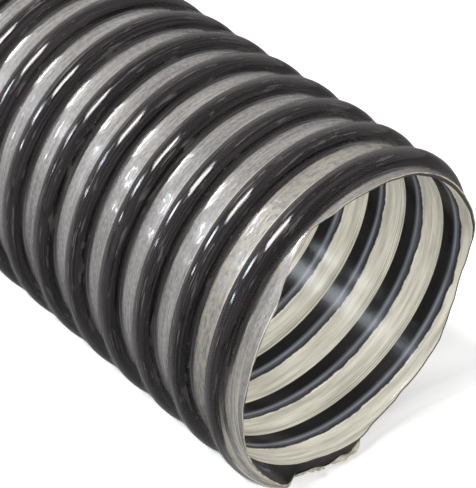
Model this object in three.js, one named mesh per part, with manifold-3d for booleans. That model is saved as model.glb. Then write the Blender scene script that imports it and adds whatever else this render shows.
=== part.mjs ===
// A length of clear leaf vacuum hose lying on its side along X: a flexible clear wall with a
// rigid dark rib wound round it as a right-handed helix. The +X end was cut by hand, along the
// valley between two turns and then across the rib, which leaves a step. The -X end is square.
// The origin is on the floor under the middle of the length. Sizes are in millimetres.
import * as THREE from "three";
import { mergeVertices } from "three/addons/utils/BufferGeometryUtils.js";
import Module from "manifold-3d";

const wasm = await Module();
wasm.setup();

// Driving dimensions
const LENGTH = 1524; // square end to the tip of the hand-cut end, 5 ft
const BORE_DIAMETER = 152.4; // nominal 6 in
const WALL_THICKNESS = 2.2; // clear wall between two ribs
const PITCH = 25.4; // one turn of the rib to the next
const RIB_FOOT_WIDTH = 12.2; // where the rib sits on the wall
const RIB_SHOULDER_WIDTH = 10; // where its sides turn in to the crown
const RIB_SHOULDER_HEIGHT = 3.9; // wall to shoulder
const RIB_HEIGHT = 6.6; // wall to crown
const SEAT_CLEARANCE = 0.3; // between the rib's foot and the wall
const RIB_END_SETBACK = 0.51; // pitches from the hose's tip back to the rib's last section

// The hand-made cut once round, from the rib's end: degrees round, pitches short of the tip.
const CUT_EDGE = [
  [0, 0.58],
  [44, 0.56],
  [62, 0.7],
  [96, 0.7],
  [115, 0.78],
  [128, 0.76],
  [153, 0.52],
  [198, 0.54],
  [240, 0.45],
  [248, 0.54],
  [256, 0.45],
  [275, 0.11],
  [288, 0],
  [323, 0.06],
  [360, 0.06],
];

// Facets: wall and rib share the same flats, and the hose rests on one of them. Every radius
// above is the distance from the axis to a flat, so the corners reach a little farther out.
const FLATS = 20;
const RIM_POINTS_PER_FLAT = 4;
const BOTTOM = -90; // degrees, azimuth of the flat that the hose rests on
const RIB_END_CORNER = 17; // corners round from the bottom flat to where the rib is cut off

const flatAngle = 360 / FLATS;
const cornerReach = 1 / Math.cos(THREE.MathUtils.degToRad(flatAngle / 2));
const ribEndAzimuth = BOTTOM + (RIB_END_CORNER + 0.5) * flatAngle;
const wallInner = BORE_DIAMETER / 2;
const wallOuter = wallInner + WALL_THICKNESS;
const crownRadius = wallOuter + RIB_HEIGHT;

// A closed three.js geometry as a solid that can be cut, and back again.
function solidFrom(geometry) {
  const bare = geometry.clone();
  bare.deleteAttribute("normal");
  bare.deleteAttribute("uv");
  const merged = mergeVertices(bare, 1e-3);
  return new wasm.Manifold(
    new wasm.Mesh({
      numProp: 3,
      vertProperties: new Float32Array(merged.attributes.position.array),
      triVerts: new Uint32Array(merged.index.array),
    }),
  );
}

function geometryFrom(solid) {
  const mesh = solid.getMesh();
  const geometry = new THREE.BufferGeometry();
  geometry.setAttribute("position", new THREE.BufferAttribute(mesh.vertProperties, 3));
  geometry.setIndex(new THREE.BufferAttribute(mesh.triVerts, 1));
  const faceted = geometry.toNonIndexed();
  faceted.computeVertexNormals();
  return faceted;
}

// How far the hand-made cut falls short of the tip at an azimuth in degrees.
function cutShortfall(azimuth) {
  const round = THREE.MathUtils.euclideanModulo(azimuth - ribEndAzimuth, 360);
  const next = CUT_EDGE.findIndex(([angle]) => angle > round);
  const [angle0, short0] = CUT_EDGE[next - 1];
  const [angle1, short1] = CUT_EDGE[next];
  const share = (round - angle0) / (angle1 - angle0);
  return THREE.MathUtils.lerp(short0, short1, share) * PITCH;
}

// How much farther from the axis a flat lies at an azimuth than at its own middle.
function flatReach(azimuth) {
  const half = flatAngle / 2;
  const fromMiddle = THREE.MathUtils.euclideanModulo(azimuth - BOTTOM + half, flatAngle) - half;
  return 1 / Math.cos(THREE.MathUtils.degToRad(fromMiddle));
}

// The clear wall: a turned tube, pressed onto the flats, with its +X rim moved to the cut edge.
function clearWallGeometry() {
  const end = LENGTH / 2;
  const profile = [
    [wallInner, -end],
    [wallOuter, -end],
    [wallOuter, end],
    [wallInner, end],
    [wallInner, -end],
  ].map(([radius, x]) => new THREE.Vector2(radius, x));
  const tube = new THREE.LatheGeometry(profile, FLATS * RIM_POINTS_PER_FLAT);
  const lathedAxisToX = new THREE.Matrix4().makeBasis(
    new THREE.Vector3(0, 0, 1),
    new THREE.Vector3(1, 0, 0),
    new THREE.Vector3(0, 1, 0),
  );
  tube.applyMatrix4(lathedAxisToX);
  tube.rotateX(THREE.MathUtils.degToRad(BOTTOM + flatAngle / 2));

  const position = tube.attributes.position;
  const point = new THREE.Vector3();
  for (let i = 0; i < position.count; i++) {
    point.fromBufferAttribute(position, i);
    const azimuth = THREE.MathUtils.radToDeg(Math.atan2(point.z, point.y));
    const reach = flatReach(azimuth);
    const short = point.x > 0 ? cutShortfall(azimuth) : 0;
    position.setXYZ(i, point.x - short, point.y * reach, point.z * reach);
  }
  return tube;
}

// The rib's path on the wall, walked from its hand-cut end towards the square end, one flat a
// step. Each section stands at a corner, in the plane through the hose's axis.
class RibPath extends THREE.Curve {
  constructor(steps) {
    super();
    this.steps = steps;
  }
  azimuthAt(step) {
    return THREE.MathUtils.degToRad(ribEndAzimuth - step * flatAngle);
  }
  outwardAt(step) {
    const azimuth = this.azimuthAt(step);
    return new THREE.Vector3(0, Math.cos(azimuth), Math.sin(azimuth));
  }
  getPoint(share) {
    const step = share * this.steps;
    const point = this.outwardAt(step).multiplyScalar(wallOuter * cornerReach);
    point.x = LENGTH / 2 - RIB_END_SETBACK * PITCH - (step / FLATS) * PITCH;
    return point;
  }
  getSpacedPoints(divisions) {
    return Array.from({ length: divisions + 1 }, (_, i) => this.getPoint(i / divisions));
  }
  computeFrenetFrames(divisions) {
    const stations = Array.from({ length: divisions + 1 }, (_, i) => i);
    const normals = stations.map((i) => this.outwardAt(i));
    const binormals = stations.map(() => new THREE.Vector3(1, 0, 0));
    const tangents = stations.map((i) => normals[i].clone().cross(binormals[i]));
    return { tangents, normals, binormals };
  }
}

// The rib's section at a corner: outwards from the wall, and along the hose.
function ribSection() {
  const foot = RIB_FOOT_WIDTH / 2;
  const shoulder = RIB_SHOULDER_WIDTH / 2;
  const outline = [
    [SEAT_CLEARANCE, foot],
    [SEAT_CLEARANCE, -foot],
    [RIB_SHOULDER_HEIGHT, -shoulder],
    [RIB_HEIGHT, 0],
    [RIB_SHOULDER_HEIGHT, shoulder],
  ];
  return new THREE.Shape(
    outline.map(([height, along]) => new THREE.Vector2(height * cornerReach, along)),
  );
}

// The rib: wound past the square end of the wall, then cut off flush with it.
function ribHelixGeometry() {
  const ribRun = LENGTH - RIB_END_SETBACK * PITCH + RIB_FOOT_WIDTH;
  const steps = Math.ceil((ribRun / PITCH) * FLATS);
  const wound = new THREE.ExtrudeGeometry(ribSection(), { steps, extrudePath: new RibPath(steps) });
  const offcut = new THREE.BoxGeometry(4 * PITCH, 3 * crownRadius, 3 * crownRadius);
  offcut.translate(-LENGTH / 2 - 2 * PITCH, 0, 0);
  return geometryFrom(solidFrom(wound).subtract(solidFrom(offcut)));
}

const clearWall = new THREE.Mesh(
  clearWallGeometry(),
  new THREE.MeshStandardMaterial({
    color: 0xc9c4b4,
    roughness: 0.3,
    metalness: 0,
    transparent: true,
    opacity: 0.7,
  }),
);
clearWall.name = "clear_wall";

const ribHelix = new THREE.Mesh(
  ribHelixGeometry(),
  new THREE.MeshStandardMaterial({ color: 0x2a272b, roughness: 0.2, metalness: 0 }),
);
ribHelix.name = "rib_helix";

const hose = new THREE.Group();
hose.add(clearWall, ribHelix);
hose.position.z = crownRadius;

export default hose;
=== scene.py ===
# %% [markdown]
# # A length of clear leaf vacuum hose
#
# The hose is extruded from two plastics at once. A clear flexible wall is wound from a strip, and
# a rigid dark bead is laid on each turn and covered by a thin clear skin, so that the hose bends
# and isn't sucked flat. One end was cut off by hand, and its edge wanders. The lesson builds the
# clear wall, the dark rib, the torn shreds at the cut, and then the plastics, camera and light.

import math

import bpy
import numpy as np
from mathutils import Matrix, Vector


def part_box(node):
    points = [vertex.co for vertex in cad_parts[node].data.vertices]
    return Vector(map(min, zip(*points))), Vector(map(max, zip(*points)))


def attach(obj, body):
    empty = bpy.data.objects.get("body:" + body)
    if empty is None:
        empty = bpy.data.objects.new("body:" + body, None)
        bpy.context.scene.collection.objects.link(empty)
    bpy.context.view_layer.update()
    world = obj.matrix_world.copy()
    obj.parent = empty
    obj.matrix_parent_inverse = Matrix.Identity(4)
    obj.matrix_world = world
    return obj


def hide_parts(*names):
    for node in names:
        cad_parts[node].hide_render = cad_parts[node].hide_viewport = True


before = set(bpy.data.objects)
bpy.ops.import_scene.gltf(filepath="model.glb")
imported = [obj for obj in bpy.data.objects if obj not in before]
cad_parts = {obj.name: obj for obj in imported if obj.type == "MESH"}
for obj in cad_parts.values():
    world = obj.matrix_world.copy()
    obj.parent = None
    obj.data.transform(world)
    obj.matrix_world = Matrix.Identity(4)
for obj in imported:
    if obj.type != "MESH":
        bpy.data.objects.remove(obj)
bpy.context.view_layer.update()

# %% [markdown]
# ## The sizes
#
# The frame gives the hose's ends, its axis and how far its rib reaches out. The bore, the wall and
# the pitch are the hose's own sizes. Everything is in metres, and shares of a pitch place things
# across a turn, because the rib, its skin and the bands inside all repeat once a pitch.

# %%
PITCH = 0.0254
BORE_RADIUS = 0.0762
WALL_THICKNESS = 0.0022
SKIN_THICKNESS = 0.00045
RIB_END_AZIMUTH = 225.0
RIB_END_SETBACK = 0.51

wall_low, wall_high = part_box("clear_wall")
rib_low, rib_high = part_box("rib_helix")
SQUARE_END = wall_low.x
TIP = wall_high.x
AXIS_HEIGHT = (rib_low.z + rib_high.z) / 2
CROWN_RADIUS = (rib_high.z - rib_low.z) / 2 - 0.00005
WALL_RADIUS = BORE_RADIUS + WALL_THICKNESS
print("hose from", SQUARE_END, "to", TIP, "axis at", AXIS_HEIGHT, "crown", CROWN_RADIUS)

# %% [markdown]
# ## The hand-made cut
#
# Somebody cut the hose with a knife, going round it in the valley between two turns. Where the
# ends of the cut missed each other the knife stepped back across the rib and sliced along its back
# edge. The blade was held at a slant, so the edge inside the bore runs apart from the one outside.
# Each row is degrees round from the step and pitches short of the hose's tip. The inner edge mostly
# follows points picked by eye in the photograph and worked out on the bore by a separate script.
# The outer edge is set off from it for the blade's slant, with the step's points listed one by one.

# %%
OUTER_EDGE = [
    (0, 0.04), (6, 0.12), (14, 0.40), (21, 0.645), (28, 0.64), (34, 0.615), (40, 0.612),
    (46, 0.585), (49, 0.60), (53, 0.70), (62, 0.76), (74, 0.79), (90, 0.765), (96, 0.75),
    (105, 0.80), (115, 0.845), (125, 0.85), (133, 0.77), (143, 0.62), (153, 0.52), (162, 0.53),
    (168, 0.54), (200, 0.50), (211, 0.45), (221, 0.41), (240, 0.41), (248, 0.485), (256, 0.40),
    (261, 0.30), (275, 0.05), (287, 0.0), (296, 0.0), (309, 0.03), (323, 0.03), (338, 0.09),
    (348, 0.09), (360, 0.04),
]
INNER_EDGE = [
    (0, 0.67), (16, 0.672), (30, 0.66), (38, 0.642), (44, 0.577), (49, 0.578), (62, 0.69),
    (74, 0.721), (90, 0.698), (96, 0.684), (105, 0.73), (115, 0.776), (125, 0.784), (133, 0.713),
    (143, 0.597), (153, 0.517), (157, 0.501), (162, 0.53), (168, 0.54), (200, 0.536), (211, 0.49),
    (221, 0.45), (240, 0.45), (248, 0.525), (256, 0.453), (261, 0.354), (275, 0.11), (285, 0.06),
    (309, 0.06), (323, 0.13), (338, 0.24), (348, 0.26), (360, 0.26),
]


def cut_position(azimuth, edge):
    """x = TIP - PITCH * (s(a) + w(a)): s is the edge's straight-line interpolation round from the
    step, and w is a small knife wobble, 0.008 sin 23a + 0.005 sin 41a, in pitches."""
    round_from_step = np.mod(np.asarray(azimuth, float) - RIB_END_AZIMUTH, 360.0)
    degrees, shortfalls = np.array(edge).T
    wobble = 0.008 * np.sin(np.radians(23 * azimuth)) + 0.005 * np.sin(np.radians(41 * azimuth))
    short = np.interp(round_from_step, degrees, shortfalls) + wobble
    return TIP - PITCH * np.maximum(short, 0.0)


def rib_position(azimuth):
    """x of the rib's middle on a turn: x = TIP - setback * PITCH + PITCH (a - a_end) / 360."""
    return TIP - RIB_END_SETBACK * PITCH + PITCH * (azimuth - RIB_END_AZIMUTH) / 360.0


print("cut between", cut_position(np.arange(360.0), OUTER_EDGE).min(), "and", TIP)

# %% [markdown]
# ## The section of one turn
#
# Across a turn the outside is a flat valley, a fillet of clear plastic that climbs the rib's flank,
# and the thin skin over the crown. The rib itself is a D with its flat side on the wall.

# %%
SKIN_HALF_WIDTH = 0.295
RIB_HALF_WIDTH = 0.238
RIB_SEAT = 0.00005
COLUMN_STEP = 4.0
FINE_STEP = 2.0
NICK_AZIMUTHS = (102.0, 128.0)
STEP_AZIMUTHS = (210.0, 284.0)
JUST_BEFORE_END = 0.25


def skin_radius(share):
    """r = R_wall + H (1 - |s / w|^3)^1.4 for |s| < w, else R_wall, with s in pitches."""
    across = share - np.round(share)
    inside = np.clip(1 - np.abs(across / SKIN_HALF_WIDTH) ** 3, 0, 1)
    return WALL_RADIUS + (CROWN_RADIUS - WALL_RADIUS) * inside**1.4


def rib_radius(share):
    """r = R_seat + h (1 - |s / w|^2.2)^0.5, the D-shaped top of the dark rib."""
    height = CROWN_RADIUS - SKIN_THICKNESS - WALL_RADIUS - RIB_SEAT
    inside = np.clip(1 - np.abs(share / RIB_HALF_WIDTH) ** 2.2, 0, 1)
    return WALL_RADIUS + RIB_SEAT + height * inside**0.5


def round_the_hose(x, azimuth, radius):
    """(x, r cos a, H + r sin a), with a in degrees and H the height of the axis."""
    a = np.radians(azimuth)
    return np.stack([x, radius * np.cos(a), AXIS_HEIGHT + radius * np.sin(a)], -1)


# The columns of vertices stand closer together where the cut has its nick and its torn step, and
# one stands just before the step, so that the inner edge jumps there in little more than a degree.
azimuths = np.concatenate(
    [
        np.arange(0.0, 360.0, COLUMN_STEP),
        np.arange(*NICK_AZIMUTHS, FINE_STEP),
        np.arange(*STEP_AZIMUTHS, FINE_STEP),
        [RIB_END_AZIMUTH - JUST_BEFORE_END],
    ]
)
azimuths = np.unique(azimuths)
print(len(azimuths), "columns round the hose")

# %% [markdown]
# ## Sheets wound on the helix
#
# A wall of rings would cross the rib's edges at a slant and make them ragged. So each sheet is a
# grid whose rows run along the helix: row g of the last column joins row g plus one turn of the
# first. Rows that pass the cut or the square end shrink onto a ring of vertices on that edge.

# %%
TURNS = np.arange(math.floor((SQUARE_END - TIP) / PITCH) - 1, 3)
SNAP = 0.0002
SHARP_ANGLE = 50.0


def is_whole(triangles):
    """True for each triangle whose three corners are different vertices."""
    return (triangles != np.roll(triangles, 1, 1)).all(1)


def wound_sheet(shares, radius_of, low, high):
    """Vertices x(a, s) = x_rib(a) + PITCH * s, r = radius_of(s), for every turn. Returns points,
    triangles, each corner's (turns round, pitches along) and the two rings of vertex numbers."""
    rows = len(shares)
    grid = (TURNS[:, None] + shares[None, :]).ravel()
    start = rib_position(azimuths)[:, None]
    x = start + PITCH * grid[None, :]
    below = x <= low[:, None] + SNAP
    above = x >= high[:, None] - SNAP
    inside = ~(below | above)
    columns = len(azimuths)
    number = np.zeros(x.shape, int)
    number[inside] = np.arange(inside.sum())
    ring_low = inside.sum() + np.arange(columns)
    ring_high = ring_low + columns
    number = np.where(below, ring_low[:, None], np.where(above, ring_high[:, None], number))
    xs = np.concatenate([x[inside], low, high])
    az = np.concatenate([np.broadcast_to(azimuths[:, None], x.shape)[inside], azimuths, azimuths])
    radius = radius_of((xs - rib_position(az)) / PITCH)
    points = round_the_hose(xs, az, radius)
    wrapped = np.concatenate([number[0, rows:], np.full(rows, ring_high[0])])
    number = np.vstack([number, wrapped[None, :]])
    turn = np.append(azimuths, 360.0) / 360.0
    a, b = number[:-1, :-1], number[1:, :-1]
    c, d = number[1:, 1:], number[:-1, 1:]
    u0 = np.broadcast_to(turn[:-1, None], a.shape)
    u1 = np.broadcast_to(turn[1:, None], a.shape)
    corners = np.stack([np.stack([a, b, c], -1), np.stack([a, c, d], -1)], 2).reshape(-1, 3)
    us = np.stack([np.stack([u0, u1, u1], -1), np.stack([u0, u1, u0], -1)], 2).reshape(-1, 3)
    keep = is_whole(corners)
    corners, us = corners[keep], us[keep]
    along = (xs[corners] - rib_position(0.0)) / PITCH
    return points, corners, np.stack([us, along], -1), ring_low, ring_high


def make_mesh(name, points, triangles, places, kinds, materials):
    """One smooth object at the origin from arrays. places are the corners' (turns, pitches)."""
    mesh = bpy.data.meshes.new(name)
    mesh.vertices.add(len(points))
    mesh.vertices.foreach_set("co", np.asarray(points, np.float32).ravel())
    mesh.loops.add(triangles.size)
    mesh.loops.foreach_set("vertex_index", triangles.astype(np.int32).ravel())
    mesh.polygons.add(len(triangles))
    mesh.polygons.foreach_set("loop_start", np.arange(0, triangles.size, 3, dtype=np.int32))
    mesh.polygons.foreach_set("material_index", np.asarray(kinds, np.int32))
    uv = mesh.uv_layers.new(name="winding")
    uv.data.foreach_set("uv", np.asarray(places, np.float32).ravel())
    mesh.update(calc_edges=True)
    mesh.validate()
    mesh.shade_smooth()
    mesh.set_sharp_from_angle(angle=math.radians(SHARP_ANGLE))
    for material in materials:
        mesh.materials.append(material)
    piece = bpy.data.objects.new(name, mesh)
    bpy.context.scene.collection.objects.link(piece)
    print(name, len(points), "points", len(triangles), "triangles")
    return piece


print("each sheet covers turns", TURNS[0], "to", TURNS[-1], "and is trimmed to the hose")

# %% [markdown]
# ## Reading the winding in a material
#
# Every pattern in this hose follows the helix. A node group turns the winding map into the place
# across the nearest rib, from -0.5 to 0.5, and the way along it in turns. The valleys get the same
# pair counted from one rib to the next, so that no grain breaks in the middle of a valley. A second
# group makes the grain, noise that is stretched along the winding. The helpers after it build nodes.

# %%
def new_group(name, inputs, outputs):
    """An empty shader node group with these (name, socket type) pairs on its two sides."""
    group = bpy.data.node_groups.new(name, "ShaderNodeTree")
    for title, kind in inputs:
        group.interface.new_socket(title, in_out="INPUT", socket_type=kind)
    for title, kind in outputs:
        group.interface.new_socket(title, in_out="OUTPUT", socket_type=kind)
    source = group.nodes.new("NodeGroupInput")
    sink = group.nodes.new("NodeGroupOutput")
    return group, source, sink


def maths(tree, operation, *values):
    """A math node: numbers go on its sockets, and outputs are linked to them."""
    node = tree.nodes.new("ShaderNodeMath")
    node.operation = operation
    for socket, value in zip(node.inputs, values):
        if isinstance(value, (int, float)):
            socket.default_value = value
        else:
            tree.links.new(value, socket)
    return node.outputs[0]


def make_winding_group():
    """across = v - u - round(v - u), along = u + round(v - u), and the valley's own pair with
    floor in place of round, so across_valley runs from 0 to 1 with a rib at either end."""
    group, source, sink = new_group(
        "winding place",
        [("Winding", "NodeSocketVector")],
        [
            ("Across", "NodeSocketFloat"),
            ("Along", "NodeSocketFloat"),
            ("Across valley", "NodeSocketFloat"),
            ("Along valley", "NodeSocketFloat"),
            ("Turn", "NodeSocketFloat"),
        ],
    )
    split = group.nodes.new("ShaderNodeSeparateXYZ")
    group.links.new(source.outputs["Winding"], split.inputs[0])
    turns, pitches = split.outputs[0], split.outputs[1]
    phase = maths(group, "SUBTRACT", pitches, turns)
    nearest = maths(group, "ROUND", phase)
    valley = maths(group, "FLOOR", phase)
    group.links.new(maths(group, "SUBTRACT", phase, nearest), sink.inputs["Across"])
    group.links.new(maths(group, "ADD", turns, nearest), sink.inputs["Along"])
    group.links.new(maths(group, "SUBTRACT", phase, valley), sink.inputs["Across valley"])
    group.links.new(maths(group, "ADD", turns, valley), sink.inputs["Along valley"])
    group.links.new(turns, sink.inputs["Turn"])
    return group


def make_grain_group():
    """Noise stretched along the winding: cells of 1/Along scale turns by 1/Across scale pitches."""
    group, source, sink = new_group(
        "winding grain",
        [
            ("Along", "NodeSocketFloat"),
            ("Across", "NodeSocketFloat"),
            ("Along scale", "NodeSocketFloat"),
            ("Across scale", "NodeSocketFloat"),
            ("Seed", "NodeSocketFloat"),
        ],
        [("Grain", "NodeSocketFloat")],
    )
    along = maths(group, "MULTIPLY", source.outputs["Along"], source.outputs["Along scale"])
    across = maths(group, "MULTIPLY", source.outputs["Across"], source.outputs["Across scale"])
    place = group.nodes.new("ShaderNodeCombineXYZ")
    group.links.new(along, place.inputs[0])
    group.links.new(across, place.inputs[1])
    group.links.new(source.outputs["Seed"], place.inputs[2])
    noise = group.nodes.new("ShaderNodeTexNoise")
    noise.inputs["Scale"].default_value = 1.0
    noise.inputs["Detail"].default_value = 3.0
    noise.inputs["Roughness"].default_value = 0.6
    group.links.new(place.outputs[0], noise.inputs["Vector"])
    group.links.new(noise.outputs["Fac"], sink.inputs["Grain"])
    return group


def new_material(name):
    """A material with a Principled shader, and the winding place node ready beside it."""
    material = bpy.data.materials.new(name)
    material.use_nodes = True
    tree = material.node_tree
    shader = tree.nodes["Principled BSDF"]
    winding = tree.nodes.new("ShaderNodeUVMap")
    winding.uv_map = "winding"
    place = tree.nodes.new("ShaderNodeGroup")
    place.node_tree = winding_group
    tree.links.new(winding.outputs[0], place.inputs[0])
    return material, tree, shader, place


def grain(tree, along, across, kind):
    """The grain group's value, where kind is its scale along, its scale across and its seed."""
    node = tree.nodes.new("ShaderNodeGroup")
    node.node_tree = grain_group
    tree.links.new(along, node.inputs["Along"])
    tree.links.new(across, node.inputs["Across"])
    for title, value in zip(("Along scale", "Across scale", "Seed"), kind):
        node.inputs[title].default_value = value
    return node.outputs[0]


def ramp(tree, value, stops):
    """A colour ramp with these (position, grey or colour) stops."""
    node = tree.nodes.new("ShaderNodeValToRGB")
    while len(node.color_ramp.elements) > 1:
        node.color_ramp.elements.remove(node.color_ramp.elements[0])
    for i, (position, colour) in enumerate(stops):
        stop = node.color_ramp.elements[0] if i == 0 else node.color_ramp.elements.new(position)
        stop.position = position
        level = (colour, colour, colour) if isinstance(colour, (int, float)) else colour
        stop.color = (*level, 1.0)
    tree.links.new(value, node.inputs[0])
    return node.outputs[0]


def blend(tree, factor, first, second, mode="MIX"):
    """A colour mix node, where each of the two is a colour or an output."""
    node = tree.nodes.new("ShaderNodeMix")
    node.data_type = "RGBA"
    node.blend_type = mode
    sockets = (node.inputs[0], node.inputs[6], node.inputs[7])
    for socket, value in zip(sockets, (factor, first, second)):
        if isinstance(value, (int, float)):
            socket.default_value = value
        elif isinstance(value, tuple):
            socket.default_value = (*value, 1.0)
        else:
            tree.links.new(value, socket)
    return node.outputs[2]


def let_light_through(tree, shader, alpha, passing):
    """Alpha as the camera sees it, and passing times that for light on its way through."""
    path = tree.nodes.new("ShaderNodeLightPath")
    share = maths(tree, "MULTIPLY_ADD", path.outputs["Is Camera Ray"], 1.0 - passing, passing)
    tree.links.new(maths(tree, "MULTIPLY", alpha, share), shader.inputs["Alpha"])


def bump(tree, shader, height, strength, distance):
    """Links a height to the shader's normal through a bump node."""
    node = tree.nodes.new("ShaderNodeBump")
    node.inputs["Strength"].default_value = strength
    node.inputs["Distance"].default_value = distance
    tree.links.new(height, node.inputs["Height"])
    tree.links.new(node.outputs[0], shader.inputs["Normal"])


winding_group = make_winding_group()
grain_group = make_grain_group()
print("node groups", winding_group.name, "and", grain_group.name)

# %% [markdown]
# ## The clear plastic outside
#
# The wall is a clear plastic that has gone slightly milky. In the valleys it is thick enough to
# look grey, with fine drag marks from the die along the winding. Over the rib it is a thin skin:
# it shows little face on, greys the rib's flanks and is palest where it is seen edge on. Along the
# skin's back edge a thin pale line is painted highlight, and a thin dark line beside it is painted
# shade. The last whole valley and the flap at the tip are rougher, and the light that comes through
# the flap from behind is painted on it as a glow.

# %%
VALLEY_DARK = (0.056, 0.0545, 0.058)
VALLEY_PALE = (0.142, 0.136, 0.136)
VALLEY_ROUGH = (0.175, 0.160, 0.122)
SKIN_TINT = (0.050, 0.046, 0.044)
SKIN_BY_FACING = [(0.30, 0.02), (0.43, 0.30), (0.70, 0.34), (0.79, 0.05), (0.87, 0.05), (0.94, 0.8)]
# Painted shade and painted highlight: the thin dark and pale lines along the skin's back edge.
EDGE_SHADE_PAINTED = (0.003, 0.003, 0.003)
EDGE_HIGHLIGHT_PAINTED = (0.34, 0.335, 0.31)
BLACK = (0.0, 0.0, 0.0)
WHITE = (1.0, 1.0, 1.0)
# The flap's two colours are a painted glow for the light that comes through it from behind.
FLAP_GLOW_DARK = (0.13, 0.125, 0.115)
FLAP_GLOW_PALE = (0.40, 0.38, 0.33)
LIGHT_PASSED = 0.4
VINYL_IOR = 1.5
SPECULAR_LEVEL = 0.3
DRAG_GRAIN = (14.0, 26.0, 3.0)
CLOUD_GRAIN = (9.0, 3.0, 8.0)
FROST_GRAIN = (210.0, 18.0, 11.0)
LUMP_GRAIN = (85.0, 13.0, 21.0)
GLINT_GRAIN = (70.0, 16.0, 31.0)


def make_clear_outside():
    """signed is the place across the rib plus a half. thick is 1 in the valleys and 0 over the
    rib. last runs from 0.2 to 0.6 along the valley behind the last rib and from 0.6 to 1 along
    the open one in front of it, and at_flap is 1 at the cut's tip."""
    material, tree, shader, place = new_material("clear_pvc_outside")
    across = place.outputs["Across"]
    across_valley, along_valley = place.outputs["Across valley"], place.outputs["Along valley"]
    drag = grain(tree, along_valley, across_valley, DRAG_GRAIN)
    cloud = grain(tree, along_valley, across_valley, CLOUD_GRAIN)
    frost = grain(tree, along_valley, across_valley, FROST_GRAIN)
    brushed = maths(tree, "MULTIPLY_ADD", drag, 0.4, maths(tree, "MULTIPLY", cloud, 0.3))
    mixed = maths(tree, "MULTIPLY_ADD", frost, 0.4, maths(tree, "SUBTRACT", brushed, 0.05))
    smooth = ramp(tree, mixed, [(0.40, VALLEY_DARK), (0.60, VALLEY_PALE)])
    last = maths(tree, "MULTIPLY_ADD", along_valley, 0.4, 0.6)
    near_end = ramp(
        tree, last, [(0.12, 0.0), (0.26, 1.0), (0.40, 0.8), (0.50, 0.2), (0.80, 0.3), (0.84, 1.0)]
    )
    lumps = grain(tree, along_valley, across_valley, LUMP_GRAIN)
    hammered = maths(tree, "MULTIPLY", lumps, near_end)
    pale = maths(tree, "MULTIPLY", ramp(tree, lumps, [(0.42, 0.0), (0.62, 0.8)]), near_end)
    valley = blend(tree, pale, smooth, VALLEY_ROUGH)
    from_rib = maths(tree, "ABSOLUTE", across)
    signed = maths(tree, "ADD", across, 0.5)
    ragged = maths(tree, "MULTIPLY_ADD", maths(tree, "SUBTRACT", drag, 0.5), 0.16, signed)
    at_flap = ramp(tree, last, [(0.77, 0.0), (0.835, 1.0)])
    wide = maths(tree, "MULTIPLY_ADD", at_flap, 0.16, ragged)
    front = ramp(tree, wide, [(0.72, 0.0), (0.78, 0.30), (0.835, 1.0)])
    behind = ramp(tree, signed, [(0.222, 1.0), (0.230, 0.4), (0.258, 0.4), (0.280, 0.0)])
    thick = blend(tree, 1.0, front, behind, "LIGHTEN")
    body = blend(tree, thick, SKIN_TINT, valley)
    # Painted shade and painted highlight: a thin dark line and a thin pale line behind each rib's
    # skin.
    painted_edge_shade = ramp(tree, signed, [(0.192, 0.0), (0.199, 1.0), (0.213, 1.0), (0.224, 0.0)])
    lined = blend(tree, painted_edge_shade, body, EDGE_SHADE_PAINTED)
    painted_edge_highlight = ramp(tree, signed, [(0.166, 0.0), (0.174, 0.85), (0.184, 0.85), (0.192, 0.0)])
    tree.links.new(blend(tree, painted_edge_highlight, lined, EDGE_HIGHLIGHT_PAINTED), shader.inputs["Base Color"])
    facing = tree.nodes.new("ShaderNodeLayerWeight")
    facing.inputs["Blend"].default_value = 0.5
    skin = ramp(tree, facing.outputs["Facing"], SKIN_BY_FACING)
    alpha = blend(tree, thick, skin, (0.92, 0.92, 0.92))
    # Painted glow on the flap, standing in for the light through it from behind.
    on_flap = maths(tree, "MULTIPLY", front, at_flap)
    flap = ramp(tree, drag, [(0.40, FLAP_GLOW_DARK), (0.60, FLAP_GLOW_PALE)])
    glow = blend(tree, on_flap, BLACK, flap)
    tree.links.new(glow, shader.inputs["Emission Color"])
    shader.inputs["Emission Strength"].default_value = 1.0
    let_light_through(tree, shader, alpha, LIGHT_PASSED)
    gloss = ramp(tree, drag, [(0.3, 0.12), (0.7, 0.30)])
    tree.links.new(blend(tree, thick, (0.07, 0.07, 0.07), gloss), shader.inputs["Roughness"])
    shader.inputs["IOR"].default_value = VINYL_IOR
    glints = grain(tree, along_valley, across_valley, GLINT_GRAIN)
    scattered = ramp(tree, glints, [(0.52, 0.02), (0.61, 0.6)])
    on_fillet = ramp(tree, from_rib, [(0.22, 0.0), (0.25, 0.9), (0.33, 0.9), (0.36, 0.0)])
    coat = blend(tree, 1.0, scattered, on_fillet, "LIGHTEN")
    tree.links.new(maths(tree, "MULTIPLY", thick, coat), shader.inputs["Coat Weight"])
    shader.inputs["Coat Roughness"].default_value = 0.09
    shader.inputs["Specular IOR Level"].default_value = SPECULAR_LEVEL
    relief = maths(tree, "MULTIPLY_ADD", hammered, 2.5, maths(tree, "ADD", drag, frost))
    bump(tree, shader, maths(tree, "MULTIPLY", relief, thick), 0.5, 0.0006)
    return material


clear_outside = make_clear_outside()
print("material", clear_outside.name)

# %% [markdown]
# ## The clear plastic inside
#
# Looking into the mouth, the far wall shows the winding through the bore's smooth face. Where the
# rib's foot is stuck to the wall it is black. Along its front a sliver of air behind the wall turns
# the light back: that reflection is painted as a blue-grey band, with a thin uneven line of glue
# past it. Between the ribs the wall is cream, with the fine parallel seams of the strip's overlap
# before the next black band. The whole inside also has a painted glow for the light that comes
# through the wall.

# %%
INSIDE_BLACK = (0.0035, 0.0033, 0.004)
# Painted reflection: the dim edges and the core of the blue-grey band in front of each black band.
INSIDE_REFLECTION_DIM = (0.060, 0.064, 0.070)
INSIDE_REFLECTION_PAINTED = (0.185, 0.20, 0.235)
INSIDE_LINE = (0.030, 0.028, 0.029)
INSIDE_CREAM = (0.62, 0.595, 0.50)
INSIDE_SEAM = (0.27, 0.25, 0.20)
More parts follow.
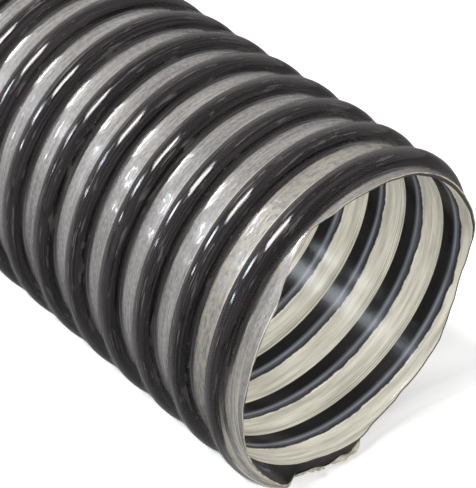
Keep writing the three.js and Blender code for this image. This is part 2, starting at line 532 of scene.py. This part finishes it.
# Painted glow over the whole inside, for the light that comes through the wall.
INSIDE_GLOW_PAINTED = 0.46
EDGE_GRAIN = (40.0, 3.0, 2.0)
SEAM_GRAIN = (2.5, 62.0, 6.0)
MOTTLE_GRAIN = (13.0, 7.0, 12.0)


def make_clear_inside():
    """steady and uneven are the place across the rib plus a half, the second with a ragged edge."""
    material, tree, shader, place = new_material("clear_pvc_inside")
    across, along = place.outputs["Across"], place.outputs["Along"]
    ragged = grain(tree, along, across, EDGE_GRAIN)
    shifted = maths(tree, "MULTIPLY_ADD", maths(tree, "SUBTRACT", ragged, 0.5), 0.14, across)
    steady = maths(tree, "ADD", across, 0.5)
    uneven = maths(tree, "ADD", shifted, 0.5)
    # The blue-grey band between the black and the cream is painted reflection.
    bands = ramp(
        tree,
        steady,
        [
            (0.0, INSIDE_CREAM),
            (0.276, INSIDE_CREAM),
            (0.292, INSIDE_BLACK),
            (0.535, INSIDE_BLACK),
            (0.575, INSIDE_REFLECTION_DIM),
            (0.615, INSIDE_REFLECTION_PAINTED),
            (0.665, INSIDE_REFLECTION_DIM),
            (0.715, INSIDE_REFLECTION_DIM),
            (0.735, INSIDE_CREAM),
            (1.0, INSIDE_CREAM),
        ],
    )
    line = ramp(tree, uneven, [(0.680, 0.0), (0.70, 1.0), (0.742, 1.0), (0.765, 0.0)])
    lined = blend(tree, line, bands, INSIDE_LINE)
    seams = grain(tree, along, across, SEAM_GRAIN)
    near_next = ramp(tree, steady, [(0.09, 0.0), (0.17, 1.0), (0.262, 1.0), (0.278, 0.0)])
    seam = maths(tree, "MULTIPLY", ramp(tree, seams, [(0.50, 0.0), (0.60, 1.0)]), near_next)
    mottle = grain(tree, along, across, MOTTLE_GRAIN)
    cream_shade = ramp(tree, mottle, [(0.36, 0.68), (0.62, 1.06)])
    coloured = blend(tree, seam, lined, INSIDE_SEAM)
    shaded = blend(tree, 1.0, coloured, cream_shade, "MULTIPLY")
    tree.links.new(shaded, shader.inputs["Base Color"])
    # The inside's colour doubles as a painted glow.
    tree.links.new(shaded, shader.inputs["Emission Color"])
    shader.inputs["Emission Strength"].default_value = INSIDE_GLOW_PAINTED
    shader.inputs["Roughness"].default_value = 0.2
    shader.inputs["IOR"].default_value = VINYL_IOR
    clear = ramp(tree, steady, [(0.27, 0.85), (0.29, 1.0), (0.76, 1.0), (0.79, 0.85)])
    let_light_through(tree, shader, clear, LIGHT_PASSED)
    bump(tree, shader, maths(tree, "ADD", seam, mottle), 0.12, 0.0004)
    return material


clear_inside = make_clear_inside()
print("material", clear_inside.name)

# %% [markdown]
# ## The cut face
#
# A knife leaves soft vinyl smooth but not polished, with faint marks along its stroke. The face is
# grey-brown, because it looks into the depth of the wall, and black where the sliced rib is behind.

# %%
CUT_DARK = (0.028, 0.024, 0.024)
CUT_PALE = (0.085, 0.074, 0.070)
CUT_BLACK = (0.004, 0.0035, 0.0035)
STROKE_GRAIN = (30.0, 30.0, 9.0)


def make_cut_face():
    """deep is how black the face is at each part of a turn round the hose."""
    material, tree, shader, place = new_material("clear_pvc_cut")
    strokes = grain(tree, place.outputs["Along"], place.outputs["Across"], STROKE_GRAIN)
    grey = ramp(tree, strokes, [(0.3, CUT_DARK), (0.7, CUT_PALE)])
    deep = ramp(
        tree,
        place.outputs["Turn"],
        [(0.632, 0.0), (0.645, 1.0), (0.684, 1.0), (0.70, 0.2), (0.76, 0.2), (0.775, 0.0)],
    )
    tree.links.new(blend(tree, deep, grey, CUT_BLACK), shader.inputs["Base Color"])
    shader.inputs["Roughness"].default_value = 0.42
    bump(tree, shader, strokes, 0.3, 0.0003)
    return material


cut_face = make_cut_face()
print("material", cut_face.name)

# %% [markdown]
# ## The dark rib
#
# The rib is rigid black-brown plastic under its clear skin. Long faint streaks run along it, with
# scattered blotches and small stretched bubbles where the skin didn't wet the rib.

# %%
RIB_BLACK = (0.0035, 0.0030, 0.0036)
RIB_BROWN = (0.018, 0.0145, 0.0165)
RIB_BLOTCH = (0.090, 0.080, 0.080)
STREAK_GRAIN = (5.0, 30.0, 1.0)
BLOTCH_GRAIN = (26.0, 16.0, 4.0)
BUBBLE_GRAIN = (55.0, 24.0, 7.0)


def make_dark_rib():
    """Streaks run along the rib, with larger blotches and small stretched bubbles over them."""
    material, tree, shader, place = new_material("rib_plastic")
    across, along = place.outputs["Across"], place.outputs["Along"]
    streaks = grain(tree, along, across, STREAK_GRAIN)
    blotches = grain(tree, along, across, BLOTCH_GRAIN)
    bubbles = grain(tree, along, across, BUBBLE_GRAIN)
    base = ramp(tree, streaks, [(0.42, RIB_BLACK), (0.60, RIB_BROWN)])
    spotted = blend(tree, ramp(tree, blotches, [(0.585, 0.0), (0.64, 0.6)]), base, RIB_BLOTCH)
    flecked = blend(tree, ramp(tree, bubbles, [(0.665, 0.0), (0.70, 0.9)]), spotted, RIB_BLOTCH)
    tree.links.new(flecked, shader.inputs["Base Color"])
    tree.links.new(ramp(tree, streaks, [(0.35, 0.05), (0.7, 0.13)]), shader.inputs["Roughness"])
    shader.inputs["IOR"].default_value = VINYL_IOR
    shader.inputs["Specular IOR Level"].default_value = SPECULAR_LEVEL
    bump(tree, shader, maths(tree, "MULTIPLY_ADD", bubbles, 0.25, streaks), 0.13, 0.0006)
    return material


dark_rib = make_dark_rib()
print("material", dark_rib.name)

# %% [markdown]
# ## Torn edges
#
# Thin torn plastic looks paler than the wall: it is cream and cloudy, and the light behind it is
# painted on as a faint glow. The same finish, glow and all, runs round the mouth as a thin pale
# line, where the blade left the wall's outer edge.

# %%
TORN_DARK = (0.22, 0.19, 0.13)
TORN_PALE = (0.56, 0.52, 0.40)
TORN_GLOW_PAINTED = 0.35
WISP_GRAIN = (90.0, 9.0, 15.0)


def make_torn_material():
    """Wisps of denser and thinner plastic, with a faint painted glow for the light behind them."""
    material, tree, shader, place = new_material("clear_pvc_torn")
    wisps = grain(tree, place.outputs["Along"], place.outputs["Across"], WISP_GRAIN)
    colour = ramp(tree, wisps, [(0.35, TORN_DARK), (0.62, TORN_PALE)])
    tree.links.new(colour, shader.inputs["Base Color"])
    tree.links.new(ramp(tree, wisps, [(0.35, 0.12), (0.65, 0.35)]), shader.inputs["Roughness"])
    tree.links.new(ramp(tree, wisps, [(0.3, 0.55), (0.6, 0.95)]), shader.inputs["Alpha"])
    tree.links.new(colour, shader.inputs["Emission Color"])
    shader.inputs["Emission Strength"].default_value = TORN_GLOW_PAINTED
    bump(tree, shader, wisps, 0.5, 0.0005)
    return material


torn = make_torn_material()
print("material", torn.name)

# %% [markdown]
# ## The clear wall
#
# Two wound sheets, one over the ribs and one in the bore, joined by a face at each end. At the cut
# the face has a pale rim along its outer edge and a small lip along the bore. The wall is made in
# two halves that share a ring of points halfway, which keeps each half's count of faces down.

# %%
LIP = 0.0004
RIM = 0.0006
VALLEY_ROWS = [-0.5, -0.36]
RIB_ROWS = [-0.295, -0.28, -0.26, -0.235, -0.195, -0.14, -0.07, 0.0]
RIB_ROWS = RIB_ROWS + [-share for share in RIB_ROWS[-2::-1]]


def end_face(outer_ring, inner_ring, towards_x):
    """Triangles between two rings of vertex numbers, facing along +X or -X."""
    a, b = outer_ring, np.roll(outer_ring, -1)
    c, d = np.roll(inner_ring, -1), inner_ring
    faces = np.concatenate([np.stack([a, b, c], -1), np.stack([a, c, d], -1)])
    return faces if towards_x else faces[:, ::-1]


def bore_radius(share):
    """r = R_bore all the way along."""
    return np.full_like(share, BORE_RADIUS)


def make_clear_wall(name, low, outer_high, inner_high, lip):
    """The wall from x = low to its edges outside and inside, with lip as the lip's reach along x."""
    outside = wound_sheet(np.array(VALLEY_ROWS + RIB_ROWS), skin_radius, low, outer_high)
    bore = wound_sheet(np.array([-0.5]), bore_radius, low, inner_high)
    lip_x = np.minimum(inner_high + lip, TIP)
    lip_points = round_the_hose(lip_x, azimuths, BORE_RADIUS + LIP)
    skin_edge = skin_radius((outer_high - rib_position(azimuths)) / PITCH)
    rim_points = round_the_hose(outer_high, azimuths, skin_edge - RIM)
    points = np.concatenate([outside[0], bore[0], lip_points, rim_points])
    shift = len(outside[0])
    lip_ring = shift + len(bore[0]) + np.arange(len(azimuths))
    rim_ring = lip_ring + len(azimuths)
    bore_faces = bore[1][:, ::-1] + shift
    bore_places = bore[2][:, ::-1]
    edge = end_face(lip_ring, bore[4] + shift, True)
    mouth = end_face(rim_ring, lip_ring, True)
    tail = end_face(outside[3], bore[3] + shift, False)
    rim = end_face(outside[4], rim_ring, True)
    ends = np.concatenate([edge, mouth, tail, rim])
    turn = np.degrees(np.arctan2(points[:, 2] - AXIS_HEIGHT, points[:, 1])) % 360 / 360
    along = (points[:, 0] - rib_position(0.0)) / PITCH
    end_places = np.stack([turn[ends], along[ends]], -1)
    triangles = np.concatenate([outside[1], bore_faces, ends])
    places = np.concatenate([outside[2], bore_places, end_places])
    cut_count = len(ends) - len(rim)
    kinds = np.repeat([0, 1, 2, 3], [len(outside[1]), len(bore_faces), cut_count, len(rim)])
    materials = [clear_outside, clear_inside, cut_face, torn]
    piece = make_mesh(name, points, triangles, places, kinds, materials)
    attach(piece, "root")
    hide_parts("clear_wall")


square = np.full(len(azimuths), SQUARE_END)
middle = np.full(len(azimuths), (SQUARE_END + TIP) / 2)
outer_cut = cut_position(azimuths, OUTER_EDGE)
inner_cut = cut_position(azimuths, INNER_EDGE)
make_clear_wall("clear_wall_far_half", square, middle, middle, 0.0)
make_clear_wall("clear_wall_cut_half", middle, outer_cut, inner_cut, LIP)

# %% [markdown]
# ## The dark rib, wound and cut
#
# One long D-shaped bar from the square end to the mouth. Where the knife ran along its back edge
# only a sliver is left, so each section is cropped at the cut and its face stands just proud of
# the wall's. The whole rib is turned by a hair, so that its points don't fall on the wall's.

# %%
RIB_TURNED = 0.12
RIB_PROUD = 0.00012
END_GAP = 0.0001
CUT_GAP = 0.0003
TOP_ANGLES = np.linspace(-88, 88, 10)


def make_rib():
    """A tube whose sections are the D, clipped at the cut, where its points follow the cut's
    slanting face from the inner edge to the outer one. Points that fall together are merged."""
    tops = RIB_HALF_WIDTH * np.sin(np.radians(TOP_ANGLES))
    outline = np.concatenate([[-RIB_HALF_WIDTH], tops, [RIB_HALF_WIDTH]])
    azimuth = (azimuths[None, :] + 360.0 * TURNS[:, None]).ravel()
    middle = rib_position(azimuth)
    outer = cut_position(azimuth % 360, OUTER_EDGE)
    inner = cut_position(azimuth % 360, INNER_EDGE)
    reach = RIB_HALF_WIDTH * PITCH
    here = (middle + reach > SQUARE_END + END_GAP) & (middle - reach < outer - CUT_GAP)
    azimuth, middle, outer, inner = azimuth[here], middle[here], outer[here], inner[here]
    low = np.maximum((SQUARE_END - middle) / PITCH, -RIB_HALF_WIDTH)[:, None]
    high = np.minimum((outer - middle) / PITCH, RIB_HALF_WIDTH)[:, None]
    share = np.clip(outline[None, :], low, high)
    radius = rib_radius(share)
    radius[:, [0, -1]] = WALL_RADIUS + RIB_SEAT
    depth = (radius - BORE_RADIUS) / (skin_radius(high) - BORE_RADIUS)
    on_cut = inner[:, None] + (outer - inner)[:, None] * depth + RIB_PROUD
    x = np.where((share >= high) & (high < RIB_HALF_WIDTH), on_cut, middle[:, None] + PITCH * share)
    points = round_the_hose(x, azimuth[:, None] + RIB_TURNED, radius).reshape(-1, 3)
    count = share.shape[1]
    number = np.arange(points.shape[0]).reshape(-1, count)
    a, b = number[:-1], number[1:]
    c, d = np.roll(b, -1, 1), np.roll(a, -1, 1)
    faces = np.stack([np.stack([a, b, c], -1), np.stack([a, c, d], -1)]).reshape(-1, 3)
    fan = np.arange(1, count - 1)
    cap = np.stack([np.zeros_like(fan), fan, fan + 1], -1)
    triangles = np.concatenate([faces, number[0][cap], number[-1][cap[:, ::-1]]])
    turn = np.repeat(azimuth / 360.0, count)
    along = (np.repeat(middle, count) + PITCH * share.ravel() - rib_position(0.0)) / PITCH
    places = np.stack([turn[triangles], along[triangles]], -1)
    points, merged = np.unique(np.round(points, 7), axis=0, return_inverse=True)
    triangles = merged.ravel()[triangles]
    keep = is_whole(triangles)
    triangles, places = triangles[keep], places[keep]
    kinds = np.zeros(len(triangles), int)
    piece = make_mesh("dark_rib_wound", points, triangles, places, kinds, [dark_rib])
    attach(piece, "root")
    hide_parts("rib_helix")


make_rib()

# %% [markdown]
# ## Torn shreds
#
# Where the knife sliced along the rib it also tore the clear skin. What is left hangs from the edge
# in a few crumpled shreds. Each is a thin flat bar with an oval section, carried along the cut with
# an uneven width and twist, and pinched shut at both its ends. A row gives a shred's first and
# last azimuth, its half width, how far it rises off the skin, and a seed for its waves.

# %%
SHREDS = [
    (233.0, 258.0, 0.0007, 0.0003, 1.0),
    (253.0, 260.0, 0.0015, 0.0006, 2.0),
    (263.0, 278.0, 0.0016, 0.0005, 7.0),
    (269.0, 280.5, 0.0012, 0.0000, 5.0),
]
SHRED_STEPS = 40
SHRED_SIDES = 12
SHRED_SINK = 0.0004
SHRED_THICKNESS = 0.00028
PINCHED_WIDTH = 0.00005
PINCHED_THICKNESS = 0.00003
CRUMPLE = 0.0003
UNDER_CROWN = 0.0001


def shred_surface(first, last, half_width, rise, seed):
    """P(t, f) = centre(t) + w(t) cos f (cos g, sin g) + h sin f (-sin g, cos g) in the plane of x
    and the radius, where w pinches almost to nothing at t = 0 and 1 and g(t) is a wavy twist."""
    t = np.linspace(0.0, 1.0, SHRED_STEPS)[:, None]
    f = np.linspace(0.0, 2 * np.pi, SHRED_SIDES, endpoint=False)[None, :]
    azimuth = first + (last - first) * t
    uneven = 1 + 0.35 * np.sin(7 * t + seed) + 0.18 * np.sin(19 * t + 2 * seed)
    width = half_width * uneven * np.sin(np.pi * t) ** 0.7 + PINCHED_WIDTH
    thick = SHRED_THICKNESS * np.sin(np.pi * t) ** 0.4 + PINCHED_THICKNESS
    twist = 0.4 + 0.5 * np.sin(4 * t + seed)
    x = cut_position(azimuth, OUTER_EDGE)
    radius = skin_radius((x - rib_position(azimuth)) / PITCH) - SHRED_SINK + rise
    x = x + 0.5 * width
    x = x + width * np.cos(f) * np.cos(twist) - thick * np.sin(f) * np.sin(twist)
    r = radius + width * np.cos(f) * np.sin(twist) + thick * np.sin(f) * np.cos(twist)
    r = np.minimum(r + CRUMPLE * np.sin(11 * t + seed), CROWN_RADIUS - UNDER_CROWN)
    points = round_the_hose(x, azimuth, r).reshape(-1, 3)
    number = np.arange(len(points)).reshape(t.size, f.size)
    a, b = number[:-1], number[1:]
    c, d = np.roll(b, -1, 1), np.roll(a, -1, 1)
    sides = np.stack([np.stack([a, c, b], -1), np.stack([a, d, c], -1)]).reshape(-1, 3)
    fan = np.arange(1, f.size - 1)
    cap = np.stack([np.zeros_like(fan), fan, fan + 1], -1)
    triangles = np.concatenate([sides, number[0][cap[:, ::-1]], number[-1][cap]])
    turn = np.repeat(azimuth.ravel() / 360.0, f.size)
    along = (x.ravel() - rib_position(0.0)) / PITCH
    return points, triangles, np.stack([turn, along], -1)[triangles]


for number, measures in enumerate(SHREDS):
    shred_points, shred_faces, shred_places = shred_surface(*measures)
    kinds = np.zeros(len(shred_faces), int)
    name = f"torn_shred_{number}"
    shred = make_mesh(name, shred_points, shred_faces, shred_places, kinds, [torn])
    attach(shred, "root")

# %% [markdown]
# ## Camera
#
# The camera stands to the right of the mouth and above it, and looks down the hose at the angle of
# the photograph. It is aimed by the pixel where a point on the axis, close behind the mouth, falls.

# %%
FRAME_WIDTH = 476
FRAME_HEIGHT = 488
CAMERA_AZIMUTH = 49.75
CAMERA_ELEVATION = 38.0
FOCAL_PIXELS = 1770.0
SENSOR = 36.0
AIM_PIXEL = (345.0, 318.6)
AIM_DEPTH = 0.8039
AIM_SETBACK = 0.82

turned = math.radians(CAMERA_AZIMUTH)
raised = math.radians(CAMERA_ELEVATION)
right = Vector((math.cos(turned), math.sin(turned), 0.0))
level = Vector((math.sin(turned), -math.cos(turned), 0.0))
back = level * math.cos(raised) + Vector((0.0, 0.0, math.sin(raised)))
up = back.cross(right)
aim = Vector((TIP - AIM_SETBACK * PITCH, 0.0, AXIS_HEIGHT))
aside = (AIM_PIXEL[0] - FRAME_WIDTH / 2) / FOCAL_PIXELS * AIM_DEPTH
above = (FRAME_HEIGHT / 2 - AIM_PIXEL[1]) / FOCAL_PIXELS * AIM_DEPTH

camera_data = bpy.data.cameras.new("photo_camera")
camera_data.sensor_width = SENSOR
camera_data.lens = FOCAL_PIXELS / max(FRAME_WIDTH, FRAME_HEIGHT) * SENSOR
camera_data.clip_start = 0.01
camera = bpy.data.objects.new("photo_camera", camera_data)
camera.location = aim + back * AIM_DEPTH - right * aside - up * above
camera.rotation_mode = "QUATERNION"
camera.rotation_quaternion = Matrix((right, up, back)).transposed().to_quaternion()
bpy.context.scene.collection.objects.link(camera)
bpy.context.scene.camera = camera
print("camera at", tuple(round(v, 4) for v in camera.location), "lens", camera_data.lens)

# %% [markdown]
# ## Floor and light
#
# A pale floor, an even white sky and three soft lights. The floor looks white to the camera but
# throws little light back, because the photograph's underside is dark. The first light is overhead
# and draws the long dashes on the front of each rib. The second, on the left, draws the ones on
# the crowns and the glitter in the valleys. The third is small, low and faint.

# %%
FLOOR_PALE = (0.88, 0.88, 0.875)
FLOOR_DIM = (0.22, 0.22, 0.22)
FLOOR_HALF = 8.0
FLOOR_ROUGHNESS = 0.7
FLOOR_GLOW = 0.35
SKY_STRENGTH = 0.7
LIGHT_DISTANCE = 1.6
LIGHT_AIM_SETBACK = 0.10
WARM_WHITE = (1.0, 0.98, 0.96)
COOL_WHITE = (0.86, 0.92, 1.0)
LIGHTS = [
    ("overhead", (-0.11, -0.385, 0.915), (0.62, 0.60), 48.0, WARM_WHITE),
    ("left", (-0.60, -0.60, 0.53), (0.30, 0.28), 13.0, COOL_WHITE),
    ("low_left", (-0.60, -0.75, 0.27), (0.12, 0.12), 4.0, COOL_WHITE),
]


def make_floor():
    """A large square under the hose. Only the camera sees its glow and its pale colour."""
    size = FLOOR_HALF
    corners = [(-size, -size, 0), (size, -size, 0), (size, size, 0), (-size, size, 0)]
    mesh = bpy.data.meshes.new("floor")
    mesh.from_pydata(corners, [], [(0, 1, 2, 3)])
    material = bpy.data.materials.new("floor")
    material.use_nodes = True
    tree = material.node_tree
    shader = tree.nodes["Principled BSDF"]
    shader.inputs["Roughness"].default_value = FLOOR_ROUGHNESS
    seen = tree.nodes.new("ShaderNodeLightPath").outputs["Is Camera Ray"]
    tree.links.new(blend(tree, seen, FLOOR_DIM, FLOOR_PALE), shader.inputs["Base Color"])
    tree.links.new(blend(tree, seen, BLACK, WHITE), shader.inputs["Emission Color"])
    shader.inputs["Emission Strength"].default_value = FLOOR_GLOW
    mesh.materials.append(material)
    floor = bpy.data.objects.new("floor", mesh)
    bpy.context.scene.collection.objects.link(floor)


def make_light(name, direction, size, power, colour):
    """An area light that faces the hose behind its mouth. The camera doesn't see its panel."""
    data = bpy.data.lights.new(name, "AREA")
    data.shape = "RECTANGLE"
    data.size, data.size_y = size
    data.energy = power
    data.color = colour
    light = bpy.data.objects.new(name, data)
    target = aim - Vector((LIGHT_AIM_SETBACK, 0.0, 0.0))
    towards = Vector(direction).normalized()
    light.location = target + towards * LIGHT_DISTANCE
    light.rotation_mode = "QUATERNION"
    light.rotation_quaternion = towards.to_track_quat("Z", "Y")
    light.visible_camera = False
    bpy.context.scene.collection.objects.link(light)


make_floor()
for settings in LIGHTS:
    make_light(*settings)

world = bpy.data.worlds.new("studio")
world.use_nodes = True
sky = world.node_tree.nodes["Background"]
sky.inputs["Color"].default_value = (*WHITE, 1.0)
sky.inputs["Strength"].default_value = SKY_STRENGTH
bpy.context.scene.world = world
bpy.context.scene.view_settings.view_transform = "Standard"
print("lights", [settings[0] for settings in LIGHTS])
